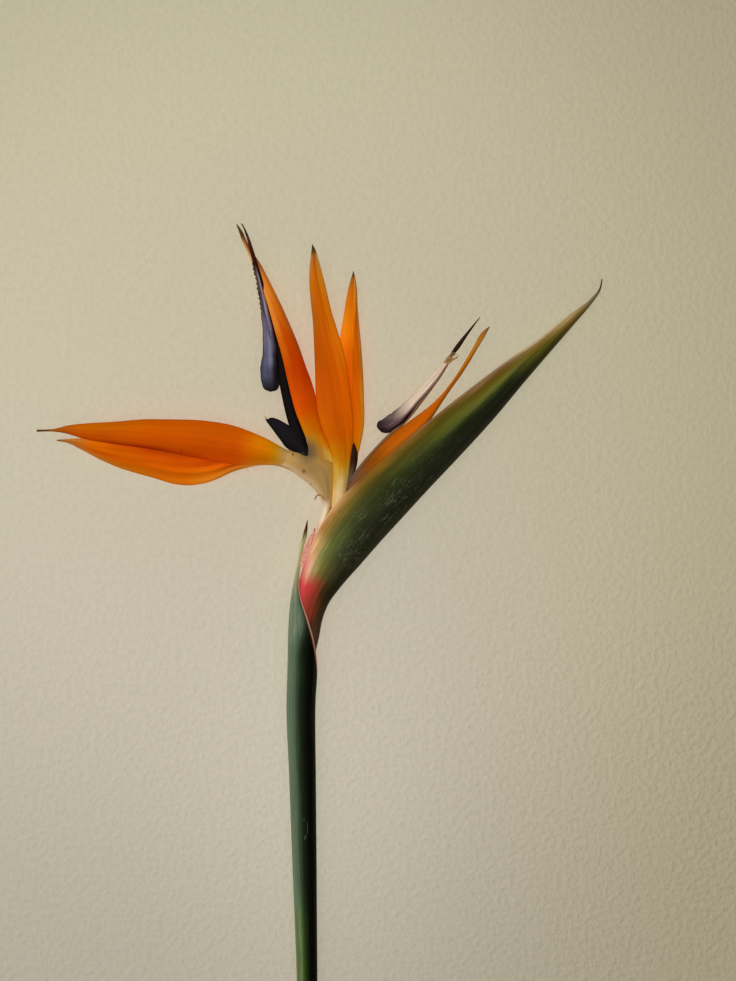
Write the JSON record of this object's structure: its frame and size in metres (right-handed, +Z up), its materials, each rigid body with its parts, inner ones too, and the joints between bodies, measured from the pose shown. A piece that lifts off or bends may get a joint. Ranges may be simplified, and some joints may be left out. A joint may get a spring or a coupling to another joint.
{
  "type": "bird of paradise flower",
  "caption": "Cut bird of paradise flower lying on its side: stem, leaf sheath, beaked green spathe, orange sepals, blue-black arrow-shaped tongues and cream flower tubes.",
  "frame": {"origin": "on the table, under the middle of the flower's outline as it lies", "axes": "+Y along the stem from the cut end towards the tips, +X towards the spathe's beak, +Z up from the table"},
  "size_m": [0.2264, 0.3705, 0.0161],
  "materials": {
    "stem_green": "satin",
    "sheath_green": "satin",
    "spathe_green": "satin",
    "tube_cream": "satin",
    "sepal_orange": "satin",
    "petal_slate": "satin",
    "petal_ink": "satin",
    "petal_pale": "satin",
    "bract_pink": "satin",
    "dry_straw": "matte"
  },
  "bodies": {
    "root": {"stem": "stem_green", "stem_sheath": "sheath_green", "spathe": "spathe_green", "flower_1_tube": "tube_cream", "flower_1_sepal_front": "sepal_orange", "flower_1_sepal_rear": "sepal_orange", "flower_1_sepal_upright": "sepal_orange", "flower_1_tongue": "petal_slate", "flower_1_hood_petal": "petal_ink", "flower_1_stigma": "petal_ink", "flower_2_tube": "tube_cream", "flower_2_sepal_front": "sepal_orange", "flower_2_sepal_rear": "sepal_orange", "flower_2_sepal_low": "sepal_orange", "flower_2_tongue": "petal_pale", "flower_2_hood_petal": "petal_ink", "flower_2_stigma": "petal_ink", "flower_2_anthers": "dry_straw", "mouth_bract": "bract_pink", "dry_bract": "dry_straw"}
  },
  "joints": []
}
